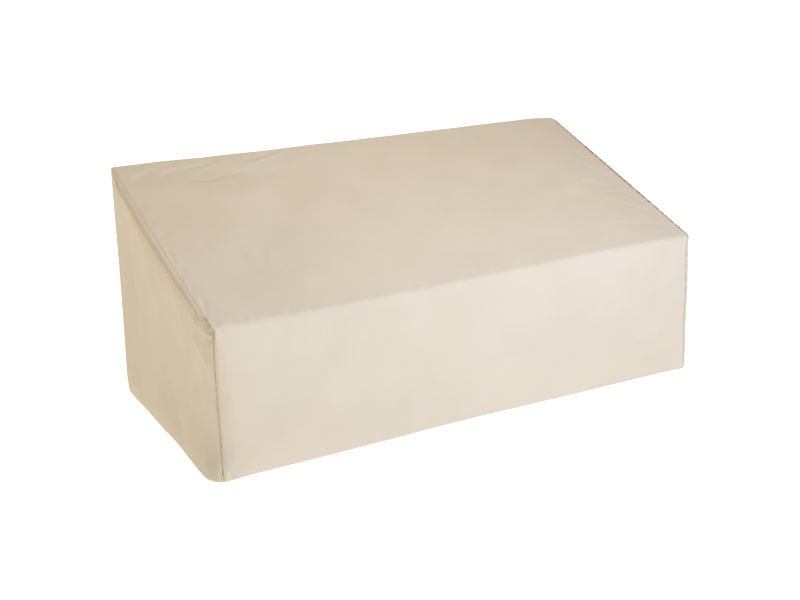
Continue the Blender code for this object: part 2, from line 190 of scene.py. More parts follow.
# %% The rounded edge of the body cloth
def edge_frame(s, seam, side, inset=0.0):
    """Point, normal and tangent of the body cloth at running lengths s, an inset away from its seam."""
    y, z, normal_y, normal_z = profile(s)
    radius = between(seam, s, "edge_radius")
    full = np.radians(between(seam, s, "wrap_degrees"))
    arc = radius * full
    turn = full * np.clip(1 - inset / arc, 0.0, 1.0)
    flat_end = between(seam, s, "half_span") - radius * np.sin(full)
    x = side * (flat_end + radius * np.sin(turn) - np.clip(inset - arc, 0.0, None))
    drop = radius * (1 - np.cos(turn))
    point = np.stack([x, y - normal_y * drop, z - normal_z * drop], -1)
    normal = np.stack([side * np.sin(turn), normal_y * np.cos(turn), normal_z * np.cos(turn)], -1)
    tangent = np.stack([side * np.cos(turn), -normal_y * np.sin(turn), -normal_z * np.sin(turn)], -1)
    return wandered(point, -normal[..., 0], -normal[..., 1]), normal, tangent


print("left seam at the front hem:", np.round(edge_frame(np.array([0.0]), LEFT_SEAM, -1)[0], 4).tolist())

# %% [markdown]
# ## Soft folds
# A fold in taut cloth is a long low ridge or trough that fades along its sides and past its ends. Cloth
# simulation would make such folds too, but not where this cover has them, so they are listed one by one. Each
# row of the tables is one: its two ends, its width and its height, all in metres. On the body, `u` is the
# place along the length and `v` runs up the panel. The large ones are the solids' own. The fine ones run
# along the back edge, fan out from the corners, and cross the right end of the slope.

# %% The large folds, which the solids have as well
Fold = namedtuple("Fold", "u_start v_start u_end v_end width height")
LARGE_FOLDS = {"front": (
    (-0.93, 0.16, -0.62, 0.42, 0.070, -0.005),
    (-0.80, 0.06, -0.52, 0.30, 0.060, 0.004),
    (-0.62, 0.10, -0.18, 0.36, 0.110, -0.003),
    (-0.30, 0.06, 0.10, 0.20, 0.090, 0.004),
    (0.05, 0.36, 0.55, 0.26, 0.100, -0.003),
    (0.40, 0.10, 0.86, 0.30, 0.090, 0.004),
    (0.72, 0.44, 0.96, 0.18, 0.050, -0.003),
), "slope": (
    (-0.92, 0.90, -0.45, 0.82, 0.050, -0.004),
    (-0.86, 0.78, -0.55, 0.70, 0.050, 0.003),
    (-0.74, 0.30, -0.46, 0.62, 0.090, -0.005),
    (-0.60, 0.20, -0.20, 0.40, 0.100, 0.003),
    (-0.40, 0.50, 0.30, 0.50, 0.240, -0.006),
    (-0.10, 0.14, 0.50, 0.12, 0.080, -0.003),
    (0.55, 0.60, 0.92, 0.74, 0.070, 0.003),
    (0.60, 0.34, 0.95, 0.44, 0.060, -0.004),
    (0.66, 0.18, 0.94, 0.22, 0.050, 0.003),
), "back": (
    (-0.60, 0.20, -0.20, 0.70, 0.120, -0.006),
    (0.10, 0.70, 0.50, 0.15, 0.130, -0.006),
    (-0.10, 0.10, 0.05, 0.60, 0.100, 0.004),
    (0.62, 0.60, 0.90, 0.30, 0.090, 0.004),
)}
GUSSET_FOLDS = (
    (0.04, 0.90, 0.16, 0.45, 0.030, -0.004),
    (0.10, 0.80, 0.30, 0.20, 0.050, 0.004),
    (0.30, 0.75, 0.38, 0.15, 0.070, -0.005),
    (0.55, 0.85, 0.58, 0.10, 0.080, 0.004),
    (0.80, 0.90, 0.82, 0.15, 0.060, -0.004),
)


def folds_height(u, v, rows):
    """The summed height at (u, v) of the folds in a table's rows."""
    height = np.zeros(np.broadcast(u, v).shape)
    for fold in map(Fold._make, rows):
        run_u, run_v = fold.u_end - fold.u_start, fold.v_end - fold.v_start
        share = ((u - fold.u_start) * run_u + (v - fold.v_start) * run_v) / (run_u ** 2 + run_v ** 2)
        share = np.clip(share, 0.0, 1.0)
        off_u, off_v = u - fold.u_start - share * run_u, v - fold.v_start - share * run_v
        height += fold.height * np.exp(-(off_u ** 2 + off_v ** 2) / fold.width ** 2)
    return height


# %% The fine creases, listed one by one
FINE_CREASES = {"slope": (
    # Long creases that run in from the back left corner, along the back edge
    (-0.960, 0.893, -0.860, 0.957, 0.011, 0.0014),
    (-0.953, 0.870, -0.866, 0.919, 0.011, -0.0016),
    (-0.924, 0.835, -0.860, 0.854, 0.011, -0.0011),
    (-0.826, 0.892, -0.649, 0.929, 0.010, -0.0025),
    (-0.721, 0.886, -0.583, 0.931, 0.009, 0.0014),
    (-0.492, 0.895, -0.328, 0.951, 0.010, 0.0021),
    (-0.471, 0.923, -0.349, 0.960, 0.010, -0.0021),
    (-0.740, 0.832, -0.693, 0.849, 0.010, -0.0015),
    (-0.685, 0.823, -0.543, 0.854, 0.010, -0.0025),
    (-0.701, 0.799, -0.597, 0.812, 0.011, 0.0018),
    (-0.455, 0.827, -0.391, 0.841, 0.010, -0.0011),
    (-0.854, 0.786, -0.785, 0.786, 0.011, -0.0014),
    # The gather where the three cloths meet at the front left corner
    (-0.975, 0.150, -0.997, 0.075, 0.006, -0.0034),
    (-0.986, 0.118, -0.998, 0.085, 0.005, 0.0012),
    (-0.992, 0.030, -0.982, 0.014, 0.008, -0.0042),
    (-0.980, 0.048, -0.960, 0.040, 0.010, 0.0012),
    # Small gathers beside the left seam of the slope
    (-0.990, 0.700, -0.965, 0.735, 0.008, -0.0014),
    (-0.992, 0.655, -0.970, 0.672, 0.008, 0.0012),
    (-0.990, 0.610, -0.955, 0.634, 0.009, -0.0018),
    (-0.988, 0.560, -0.960, 0.590, 0.008, 0.0013),
    (-0.992, 0.300, -0.972, 0.338, 0.008, -0.0016),
    (-0.994, 0.246, -0.978, 0.282, 0.008, 0.0013),
    (-0.996, 0.200, -0.980, 0.232, 0.007, -0.0016),
    (-0.975, 0.517, -0.945, 0.548, 0.009, -0.0021),
    (-0.988, 0.447, -0.990, 0.375, 0.008, -0.0018),
    (-0.976, 0.419, -0.980, 0.348, 0.008, 0.0019),
    # Crumpled cloth over the left of the seat
    (-0.735, 0.377, -0.768, 0.275, 0.007, -0.0013),
    (-0.718, 0.360, -0.730, 0.302, 0.007, 0.0011),
    (-0.668, 0.359, -0.696, 0.286, 0.007, -0.0016),
    (-0.640, 0.400, -0.667, 0.284, 0.007, 0.0012),
    (-0.637, 0.275, -0.633, 0.225, 0.007, -0.0016),
    (-0.633, 0.225, -0.643, 0.156, 0.007, -0.0014),
    (-0.612, 0.271, -0.612, 0.211, 0.007, 0.0012),
    (-0.679, 0.490, -0.687, 0.427, 0.007, -0.0013),
    (-0.656, 0.445, -0.610, 0.498, 0.007, 0.0012),
    (-0.656, 0.393, -0.662, 0.345, 0.007, -0.0012),
    (-0.755, 0.536, -0.721, 0.553, 0.007, -0.0013),
    (-0.850, 0.433, -0.845, 0.382, 0.007, -0.0012),
    (-0.528, 0.436, -0.481, 0.477, 0.007, 0.0010),
    (-0.460, 0.445, -0.413, 0.459, 0.007, -0.0011),
    (-0.320, 0.516, -0.265, 0.544, 0.007, -0.0010),
    # Creases that stand off the right seam of the slope
    (0.892, 0.704, 0.922, 0.599, 0.010, -0.0018),
    (0.871, 0.643, 0.919, 0.551, 0.010, 0.0020),
    (0.873, 0.530, 0.924, 0.486, 0.010, -0.0018),
    (0.809, 0.482, 0.902, 0.413, 0.010, 0.0018),
    (0.852, 0.371, 0.943, 0.303, 0.010, -0.0020),
    (0.815, 0.335, 0.918, 0.241, 0.010, 0.0018),
    (0.850, 0.259, 0.935, 0.185, 0.010, -0.0020),
    (0.838, 0.188, 0.958, 0.135, 0.010, 0.0017),
    (0.704, 0.180, 0.825, 0.105, 0.010, -0.0014),
    (0.835, 0.131, 0.949, 0.072, 0.010, -0.0017),
), "front": (
    # The rest of the gather at the front left corner
    (-0.982, 0.538, -0.966, 0.523, 0.006, -0.0022),
    (-0.993, 0.535, -0.993, 0.505, 0.007, 0.0020),
    # Tension from the front's upper left corner and along its left seam, and a soft fold at its right end
    (-0.972, 0.458, -0.672, 0.053, 0.060, 0.0045),
    (-0.985, 0.490, -0.912, 0.460, 0.010, -0.0008),
    (-0.985, 0.431, -0.922, 0.417, 0.011, 0.0007),
    (-0.985, 0.226, -0.888, 0.214, 0.011, -0.0008),
    (-0.980, 0.168, -0.848, 0.150, 0.012, 0.0009),
    (-0.980, 0.110, -0.850, 0.107, 0.011, -0.0008),
    (-0.993, 0.065, -0.959, 0.012, 0.008, -0.0030),
    (0.815, 0.114, 0.944, 0.147, 0.020, 0.0018),
    (0.762, 0.158, 0.919, 0.211, 0.020, -0.0018),
    (0.542, 0.449, 0.742, 0.455, 0.020, -0.0010),
    (0.170, 0.489, 0.184, 0.452, 0.008, -0.0010),
)}

# %% Small gathers along the front fold, at uneven steps
GATHER_START, GATHER_LEAN, GATHER_WIDTH = 0.006, 0.006, 0.0085
GATHERS = Table(("u", "length", "depth"), (
    (-0.920, 0.030, 0.00204), (-0.888, 0.034, 0.00238), (-0.849, 0.040, 0.00204), (-0.723, 0.024, 0.00272),
    (-0.646, 0.022, 0.00221), (-0.540, 0.026, 0.00221), (-0.417, 0.024, 0.00187), (-0.251, 0.028, 0.00272),
    (-0.202, 0.026, 0.00289), (-0.178, 0.022, 0.00221), (-0.045, 0.042, 0.0034), (-0.020, 0.036, 0.00306),
    (0.095, 0.032, 0.00272), (0.125, 0.028, 0.00221), (0.213, 0.046, 0.00238), (0.266, 0.040, 0.00221),
    (0.338, 0.030, 0.00238), (0.513, 0.022, 0.00136), (0.655, 0.022, 0.00119),
))
FINE_CREASES["slope"] += tuple(
    (u, GATHER_START, u + GATHER_LEAN, GATHER_START + length, GATHER_WIDTH, -depth)
    for u, length, depth in GATHERS.rows)

# %% The left gusset's creases, placed by depth and height
LEFT_GUSSET_CREASES = (
    (0.063, 0.628, -0.065, 0.526, 0.012, -0.0016),
    (-0.020, 0.651, -0.119, 0.560, 0.012, 0.0014),
    (-0.136, 0.554, -0.214, 0.464, 0.012, -0.0016),
    (-0.208, 0.540, -0.284, 0.450, 0.012, 0.0016),
    (-0.240, 0.454, -0.317, 0.372, 0.012, -0.0018),
    (-0.311, 0.456, -0.387, 0.375, 0.011, -0.0018),
    (-0.350, 0.479, -0.424, 0.399, 0.011, 0.0016),
    (-0.374, 0.402, -0.434, 0.346, 0.011, -0.0016),
    (-0.352, 0.576, -0.376, 0.552, 0.008, -0.0040),
    (-0.372, 0.566, -0.392, 0.562, 0.006, 0.0030),
    (-0.400, 0.572, -0.424, 0.548, 0.007, -0.0050),
    (-0.436, 0.552, -0.452, 0.532, 0.008, -0.0090),
    (-0.424, 0.536, -0.438, 0.516, 0.006, 0.0024),
    (-0.452, 0.512, -0.455, 0.500, 0.006, -0.0060),
    (0.367, 0.783, 0.374, 0.552, 0.016, 0.0014),
    (0.356, 0.634, 0.365, 0.438, 0.014, -0.0014),
    (0.289, 0.487, 0.241, 0.408, 0.016, -0.0012),
    (0.029, 0.273, -0.069, 0.155, 0.020, -0.0012),
    (0.226, 0.324, 0.147, 0.186, 0.020, 0.0012),
)
for label, table in (("large folds", LARGE_FOLDS), ("fine creases", FINE_CREASES)):
    print(label, {panel: len(rows) for panel, rows in table.items()})

# %% [markdown]
# ## Seam grooves and puckers
# Where two cloths are sewn and their edges turned in, the surface dips into a narrow groove, which shows as a
# fine dark line. The groove is real geometry, and a painted shade beside its depth stands for the shadow in
# the sewn gap, which is too fine to model. Thread also draws the cloth up between its stitches, so short
# puckers stand off the seam at uneven steps and die out within a few centimetres. A seeded generator places
# them.

# %% A groove and a roll along a seam
GROOVE_WIDTH = 0.0050
# The shade column is how strongly painted shade darkens the cloth's colour beside the seam
GROOVE_COLUMNS = ("s", "depth", "shade")
LEFT_GROOVE = Table(GROOVE_COLUMNS, (
    (0.0, 0.0034, 0.15),
    (FOLD_START - 0.18, 0.0036, 0.15),
    (FOLD_START - 0.06, 0.0036, 0.0),
    (FOLD_START, 0.0046, 0.25),
    (SLOPE_START + 0.020, 0.0046, 0.30),
    (SLOPE_START + 0.070, 0.0013, 0.0),
    (EDGE_START, 0.0013, 0.0),
    (BACK_START, 0.0020, 0.10),
))
RIGHT_GROOVE = Table(GROOVE_COLUMNS, (
    (0.0, 0.0022, 0.20),
    (FOLD_START, 0.0022, 0.20),
    (SLOPE_START + 0.04, 0.0050, 0.85),
    (EDGE_START, 0.0050, 0.85),
    (BACK_START, 0.0020, 0.20),
))
ROLL_HEIGHT, ROLL_PLACE, ROLL_WIDTH = 0.0006, 0.0120, 0.0060


def groove(table, along, distance, column):
    """The sewn groove's depth or shade, at a place along a seam and a distance from it."""
    return between(table, along, column) * np.exp(-(distance / GROOVE_WIDTH) ** 2)


def roll(distance):
    """The low roll that stands beside the groove."""
    return ROLL_HEIGHT * np.exp(-((distance - ROLL_PLACE) / ROLL_WIDTH) ** 2)


print("groove depths (mm):", [1000 * LEFT_GROOVE.rows[0][1], 1000 * RIGHT_GROOVE.rows[0][1]], "at the hem")

# %% Puckers along a seam
PUCKER_STEP, PUCKER_WIDTH, PUCKER_REACH, PUCKER_HEIGHT = 0.034, 0.0075, 0.024, 0.0008
FIRST_PUCKER = 0.02
# The stitches hold the cloth flat this close to the seam
HELD_FLAT = 0.006
BODY_LEFT_SEED, BODY_RIGHT_SEED, LEFT_GUSSET_SEED, RIGHT_GUSSET_SEED = 11, 23, 31, 47


def puckers(along, distance, seed):
    """Short gathers that stand off a seam, at uneven steps along it."""
    draw = np.random.default_rng(seed)
    height = np.zeros(np.broadcast(along, distance).shape)
    place = FIRST_PUCKER
    while place < CLOTH_END:
        width = PUCKER_WIDTH * draw.uniform(0.6, 1.6)
        reach = PUCKER_REACH * draw.uniform(0.5, 1.8)
        lean = draw.uniform(-0.5, 0.5)
        size = PUCKER_HEIGHT * draw.uniform(-0.6, 1.2)
        rising = smooth_step(distance / HELD_FLAT) * np.exp(-distance / reach)
        height += size * rising * np.exp(-((along - place - lean * distance) / width) ** 2)
        place += PUCKER_STEP * draw.uniform(0.5, 1.6)
    return height


print("about", round(CLOTH_END / PUCKER_STEP), "puckers a seam")

# %% [markdown]
# ## The hem
# The hem is the cloth itself: it comes down the outside, turns at the lower edge and runs up again inside. A
# line of stitches near its upper end pulls the cloth in by a fraction of a millimetre. A Solidify rim would
# only show one cut edge there, so the turned part gets its own rows of points.

# %% Hem sizes, and the rows of a turned hem
STITCH_PLACE, STITCH_WIDTH, STITCH_PULL = 0.019, 0.0035, 0.0007
SHEET, TURN_GAP = 0.0009, 0.0021
# From the raw edge down: the outer row that each row lies behind, how far in it lies, and its rise
HEM_TURN = ((5, TURN_GAP, 0.0), (3, TURN_GAP, 0.0), (1, TURN_GAP, 0.0), (0, TURN_GAP, 0.0012),
            (0, TURN_GAP / 2, -0.0003))


def hem_pull(height):
    """How far the hem's stitching pulls the cloth in, at a height above its edge."""
    return -STITCH_PULL * np.exp(-((height - STITCH_PLACE) / STITCH_WIDTH) ** 2)


def turned_hem(points, inward):
    """The rows inside a hem that is the first row of a grid, where `inward` points into the cover."""
    return np.stack([points[row] + offset * inward[row] + np.array([0.0, 0.0, rise])
                     for row, offset, rise in HEM_TURN])


print("hem: turned over", len(HEM_TURN), "rows, stitched", 1000 * STITCH_PLACE, "mm above its edge")

# %% [markdown]
# ## Grids
# A sheet is a grid of points. An even grid fine enough for the seams would be far too heavy, so the points
# lie close together where the cloth turns or is sewn, and wider apart on the flats.

# %% Uneven steps along a stretch
GRADING_SAMPLES = 2001


def graded(length, fine, widest, growth=0.10):
    """Places from 0 to length, in fine steps at both ends that widen towards the middle."""
    places = np.linspace(0.0, length, GRADING_SAMPLES)
    step = np.minimum(widest, fine + growth * np.minimum(places, length - places))
    steps_passed = np.cumsum(0.5 * (1 / step[1:] + 1 / step[:-1]) * np.diff(places))
    count = np.concatenate([[0.0], steps_passed])
    return np.interp(np.linspace(0.0, count[-1], math.ceil(count[-1]) + 1), count, places)


print("100 mm in steps of 4 to 10 mm:", len(graded(0.1, 0.004, 0.010)), "places")


# %% A grid made into a mesh, and a thickness for it
def sheet_from_grid(name, points, flat_map, facing, measures):
    """A mesh from a grid of points, with the cloth's flat map as UV and named measures as attributes."""
    rows, columns = points.shape[:2]
    corner = np.arange(rows * columns).reshape(rows, columns)
    quads = np.stack([corner[:-1, :-1], corner[:-1, 1:], corner[1:, 1:], corner[1:, :-1]], -1)
    quads = quads.reshape(-1, 4)
    if facing < 0:
        quads = quads[:, ::-1]
    mesh = bpy.data.meshes.new(name)
    mesh.from_pydata(points.reshape(-1, 3).tolist(), [], quads.tolist())
    uv = mesh.uv_layers.new(name="cloth")
    uv.data.foreach_set("uv", flat_map.reshape(-1, 2)[quads.reshape(-1)].astype(np.float32).ravel())
    for label, values in measures.items():
        attribute = mesh.attributes.new(label, "FLOAT", "POINT")
        attribute.data.foreach_set("value", values.reshape(-1).astype(np.float32))
    mesh.shade_smooth()
    piece = bpy.data.objects.new(name, mesh)
    bpy.context.scene.collection.objects.link(piece)
    return piece


def carried_out(values, rows_before, rows_after, columns):
    """A grid's values, carried out over the rows and columns that were added round it."""
    widths = [(rows_before, rows_after), (columns, columns)] + [(0, 0)] * (values.ndim - 2)
    return np.pad(values, widths, mode="edge")


def give_thickness(piece):
    """Thickens a sheet inwards and applies it."""
    bpy.ops.object.select_all(action="DESELECT")
    piece.select_set(True)
    bpy.context.view_layer.objects.active = piece
    thick = piece.modifiers.new("Cloth", "SOLIDIFY")
    thick.thickness, thick.offset, thick.use_even_offset = SHEET, -1, False
    bpy.ops.object.modifier_apply(modifier=thick.name)
    print(f"{piece.name}: {len(piece.data.polygons)} faces, {SHEET * 1000:.1f} mm thick")


# %% [markdown]
# ## The body cloth
# This is the one long piece. Its grid has a row for each step along the profile. Across a row come the
# turned-in allowance, the rounded edge, the long flat, and the same again in reverse. Folds, grooves, puckers
# and hem stitches are all heights along the surface's own normal, so they simply add up.

# %% Steps of the body cloth
BODY_STEPS = Table(("stretch", "fine", "widest"), (
    (0, 0.004, 0.015), (1, 0.0030, 0.0030), (2, 0.004, 0.0095), (3, 0.0038, 0.0038), (4, 0.004, 0.026)))
MIDDLE_SHARES = graded(1.0, 0.0050, 0.0062)


def body_lengths():
    """Running lengths of the rows."""
    places = [STARTS[stretch] + graded(LENGTHS[stretch], fine, widest)[:-1]
              for stretch, fine, widest in BODY_STEPS.rows]
    return np.concatenate(places + [[CLOTH_END]])


BODY_S = body_lengths()
print("body grid:", len(BODY_S), "rows,", len(MIDDLE_SHARES), "columns between the rounded edges")

# %% The allowance and the rounded edge at one end of the body
SEAM_GAP = 0.0003
LIP_DEPTHS = (0.008, 0.003, 0.0006)
LIP_ROUND = 0.0006
INSETS = (0.0014, 0.0028, 0.0045, 0.0065, 0.009, 0.012, 0.0155, 0.020, 0.025, 0.031, 0.038, 0.046, 0.055,
          0.065, 0.076, 0.088, 0.101)


def body_end(s, seam, side):
    """The allowance and the cloth beside one seam: points, normals and distances from the seam."""
    seam_point, normal, tangent = edge_frame(s, seam, side)
    sewn = seam_point - SEAM_GAP / 2 * tangent
    points = [sewn - depth * normal for depth in LIP_DEPTHS] + [sewn - LIP_ROUND * tangent]
    normals = [normal] * len(points)
    distances = [np.zeros_like(s)] * len(points)
    for inset in INSETS:
        point, inset_normal, _ = edge_frame(s, seam, side, inset)
        points.append(point)
        normals.append(inset_normal)
        distances.append(np.full_like(s, inset))
    return np.stack(points, 1), np.stack(normals, 1), np.stack(distances, 1)


# %% The panel and the place up it, for each running length
FOLD_BLEND = 0.012
FRONT_CORNER, BACK_CORNER = FOLD_START + LENGTHS[1] / 2, EDGE_START + LENGTHS[3] / 2


def panel_places(s):
    """For each panel, how far up it the running lengths lie, as if its ends were sharp corners."""
    slope_length = DEPTH / math.cos(SLOPE_ANGLE)
    cut_front, cut_back = 2 * FRONT_TANGENT - LENGTHS[1], 2 * BACK_TANGENT - LENGTHS[3]
    sharp = (s + cut_front * smooth_step((s - FOLD_START) / LENGTHS[1])
             + cut_back * smooth_step((s - EDGE_START) / LENGTHS[3]))
    return {"front": sharp, "slope": sharp - FRONT_HEIGHT,
            "back": FRONT_HEIGHT + slope_length + BACK_HEIGHT - sharp}


def body_folds(x, s, folds):
    """Height of the folds on whichever panel each place lies on, eased over the rounded folds."""
    over_front = smooth_step((s - FRONT_CORNER) / FOLD_BLEND + 0.5)
    over_back = smooth_step((s - BACK_CORNER) / FOLD_BLEND + 0.5)
    weight = {"front": 1 - over_front, "slope": over_front * (1 - over_back), "back": over_back}
    places = panel_places(s)
    return sum(weight[panel] * folds_height(x, places[panel], rows) for panel, rows in folds.items())


# %% The body's plain grid, from seam to seam
def body_grid(s):
    """Points, normals, and distances from the left and the right seam."""
    left, left_normal, left_distance = body_end(s, LEFT_SEAM, -1)
    right, right_normal, right_distance = body_end(s, RIGHT_SEAM, 1)
    shares, edge = MIDDLE_SHARES[1:-1], INSETS[-1]
    width = (right[:, -1, 0] - left[:, -1, 0])[:, None]
    x = left[:, -1, :1] + shares * width
    y, z, normal_y, normal_z = (np.broadcast_to(values[:, None], x.shape) for values in profile(s))
    flat = wandered(np.stack([x, y, z], -1), 0.0, -normal_y)
    flat_normal = np.stack([np.zeros_like(x), normal_y, normal_z], -1)
    beyond = np.broadcast_to(edge + width, left_distance.shape)
    from_left = np.concatenate([left_distance, edge + shares * width, beyond], 1)
    from_right = np.concatenate([beyond, edge + (1 - shares) * width, right_distance[:, ::-1]], 1)
    points = np.concatenate([left, flat, right[:, ::-1]], 1)
    normals = np.concatenate([left_normal, flat_normal, right_normal[:, ::-1]], 1)
    return points, normals, from_left, from_right


# %% Build the body cloth
# Large folds die out towards a seam over this stretch, and fine creases over the shorter one
CALM_START, SEAM_CALM, CREASE_FADE = 0.004, 0.080, 0.008


def body_cloth():
    """The long sheet with its folds, seams and hems."""
    points, normals, from_left, from_right = body_grid(BODY_S)
    lengths = np.broadcast_to(BODY_S[:, None], points.shape[:2])
    nearest = np.minimum(from_left, from_right)
    calm = smooth_step((nearest - CALM_START) / SEAM_CALM)
    depth, shade = (groove(LEFT_GROOVE, lengths, from_left, column)
                    + groove(RIGHT_GROOVE, lengths, from_right, column)
                    for column in GROOVE_COLUMNS[1:])
    height = calm * body_folds(points[..., 0], lengths, LARGE_FOLDS)
    height += smooth_step(nearest / CREASE_FADE) * body_folds(points[..., 0], lengths, FINE_CREASES)
    height += hem_pull(np.minimum(lengths, CLOTH_END - lengths)) + roll(nearest) - depth
    height += puckers(lengths, from_left, BODY_LEFT_SEED) + puckers(lengths, from_right, BODY_RIGHT_SEED)
    points = points + height[..., None] * normals
    front_hem = turned_hem(points, -normals)
    back_hem = turned_hem(points[::-1], -normals[::-1])[::-1]
    flat_map, nearest, shade = (carried_out(values, len(HEM_TURN), len(HEM_TURN), 0)
                                for values in (np.stack([points[..., 0], lengths], -1), nearest, shade))
    return sheet_from_grid("body_cover_cloth", np.concatenate([front_hem, points, back_hem]), flat_map, 1,
                           {"from_seam": nearest, "seam_shade": shade})


body = body_cloth()
give_thickness(body)

# %% [markdown]
# ## The gussets
# A gusset is cut to the shape of the end and sewn in along three sides. It is stretched between its seams
# like a net, and billows outwards between them. Its edge is rounded beside each seam: the gusset leaves the
# seam level, turns over in a narrow band and then falls straight to the hem. That band makes the soft dark
# line under the sloping seam, so it comes from tables rather than from a modifier.

# %% How far each gusset billows, and how wide its rounded edges are
BULGE_COLUMNS = ("height_share", "front", "middle", "near_back", "back")
LEFT_BULGE = Table(BULGE_COLUMNS, (
    (-0.3, 0.056, 0.024, 0.014, 0.008),
    (0.45, 0.008, 0.008, 0.004, 0.001),
    (1.35, 0.028, 0.040, 0.036, 0.0055),
))
RIGHT_BULGE = Table(BULGE_COLUMNS, (
    (0.0, 0.020, 0.022, 0.011, 0.008),
    (0.5, 0.019, 0.026, 0.017, 0.014),
    (1.0, 0.014, 0.018, 0.014, 0.014),
))
NEAR_BACK = 0.85
Band = namedtuple("Band", "at_front_hem at_front_top under_slope at_back")
LEFT_BAND, RIGHT_BAND = Band(0.070, 0.060, 0.022, 0.040), Band(0.050, 0.025, 0.018, 0.040)
Squareness = namedtuple("Squareness", "at_front_hem up_front under_slope")
LEFT_SQUARENESS, RIGHT_SQUARENESS = Squareness(2.0, 1.2, 2.0), Squareness(2.0, 2.0, 2.0)
HEM_ROUND_REACH, ELLIPSE = 0.15, 2.0
# Below its rounded upper edge a gusset is drawn in a little, which keeps a soft shadow under the seam
UNDER_RIDGE = Table(("across", "depth"), ((0.0, 0.0030), (0.70, 0.0030), (0.95, 0.0)))
RIDGE_DEPTH, RIDGE_WIDTH = 0.026, 0.0055
GUSSET_HEM = Table(("depth_share", "lift"), (
    (0.0, 0.000), (0.06, -0.002), (0.15, -0.004), (0.40, -0.001), (0.70, 0.001), (1.0, 0.000)))
GUSSET_HEM_FADE = 0.10


def bulge_shape(distance, band, squareness):
    """0 at the seam and 1 beyond the band, with a round of the given squareness."""
    return (1 - (1 - np.clip(distance / band, 0.0, 1.0)) ** squareness) ** (1 / squareness)


def bulge_at(bulge, across, up):
    """How far the gusset billows at a place on it."""
    front, middle, near_back, back = (between(bulge, up, name) for name in BULGE_COLUMNS[1:])
    return (front + smooth_step(2 * across) * (middle - front)
            + smooth_step((across - 0.5) / (NEAR_BACK - 0.5)) * (near_back - middle)
            + smooth_step((across - NEAR_BACK) / (1 - NEAR_BACK)) * (back - near_back))


# %% The seams and the hem of a gusset
Border = namedtuple("Border", "s points normals")
# Steps that close in on the front corner, and how near a corner no other step comes
CORNER_STEPS = (0.0032, 0.0025, 0.0018, 0.0012, 0.0008, 0.0005, 0.0003, 0.00015, 0.00006, 0.00002, 0.0)
UPRIGHT_CLEAR, TOP_CLEAR = 0.004, 0.001


def gusset_borders(seam, side):
    """The front, top and back seams: the upright ones as columns of a grid and the top one as a row."""
    front_s = np.concatenate([BODY_S[BODY_S < FRONT_CORNER - UPRIGHT_CLEAR],
                              FRONT_CORNER - np.array(CORNER_STEPS)])
    back_s = CLOTH_END - front_s / FRONT_CORNER * (CLOTH_END - BACK_CORNER)
    along_top = BODY_S[(BODY_S > FRONT_CORNER + TOP_CLEAR) & (BODY_S < BACK_CORNER - TOP_CLEAR)]
    top_s = np.concatenate([[FRONT_CORNER], along_top, [BACK_CORNER]])
    borders = []
    for s in (front_s[:, None], top_s[None], back_s[:, None]):
        point, normal, tangent = edge_frame(s, seam, side)
        borders.append(Border(s, point + SEAM_GAP / 2 * tangent, normal))
    return borders


def gusset_hem(front, back, share):
    """Points of the gusset's hem, at shares of the way from its front end to its back end."""
    hem = front + share[:, None] * (back - front)
    at_front = 1 - smooth_step(share / GUSSET_HEM_FADE)
    at_back = 1 - smooth_step((1 - share) / GUSSET_HEM_FADE)
    hem[:, 2] = at_front * front[2] + at_back * back[2] + between(GUSSET_HEM, share, "lift")
    return hem


def running_shares(line):
    """Each point's share of a line's running length."""
    steps = np.linalg.norm(np.diff(line.reshape(-1, 3), axis=0), axis=1)
    return np.concatenate([[0.0], np.cumsum(steps)]) / steps.sum()


# %% A net between the four borders
def stretched_net(front, top, back):
    """The smooth net through a gusset's seams and hem, and each point's shares across it and up it."""
    across = running_shares(top)[None, :]
    up_front, up_back = running_shares(front)[:, None], running_shares(back)[:, None]
    up = up_front + across * (up_back - up_front)
    hem = gusset_hem(front[0, 0], back[0, 0], across[0])[None]
    a, b = across[..., None], up[..., None]
    corners = ((1 - a) * (1 - b) * front[0, 0] + a * (1 - b) * back[0, 0]
               + (1 - a) * b * front[-1, 0] + a * b * back[-1, 0])
    net = (1 - a) * front + a * back + (1 - b) * hem + b * top - corners
    return net, np.broadcast_to(across, up.shape), up


# %% The billow of a gusset
def billow(gusset, net, across, up, front, top, back):
    """How far each point of the net stands out past the seams."""
    band, squareness = gusset.band, gusset.squareness
    band_front = band.at_front_hem + up * (band.at_front_top - band.at_front_hem)
    round_share = smooth_step(up / HEM_ROUND_REACH)
    square_front = squareness.at_front_hem + round_share * (squareness.up_front - squareness.at_front_hem)
    below_top = (top[..., 2] - net[..., 2]) * math.cos(SLOPE_ANGLE)
    rounding = (bulge_shape(net[..., 1] - front[..., 1], band_front, square_front)
                * bulge_shape(below_top, band.under_slope, squareness.under_slope)
                * bulge_shape(back[..., 1] - net[..., 1], band.at_back, ELLIPSE))
    out = bulge_at(gusset.bulge, across, up) + folds_height(across, up, GUSSET_FOLDS)
    dip = between(UNDER_RIDGE, across, "depth") * np.exp(-((below_top - RIDGE_DEPTH) / RIDGE_WIDTH) ** 2)
    return out * rounding - dip


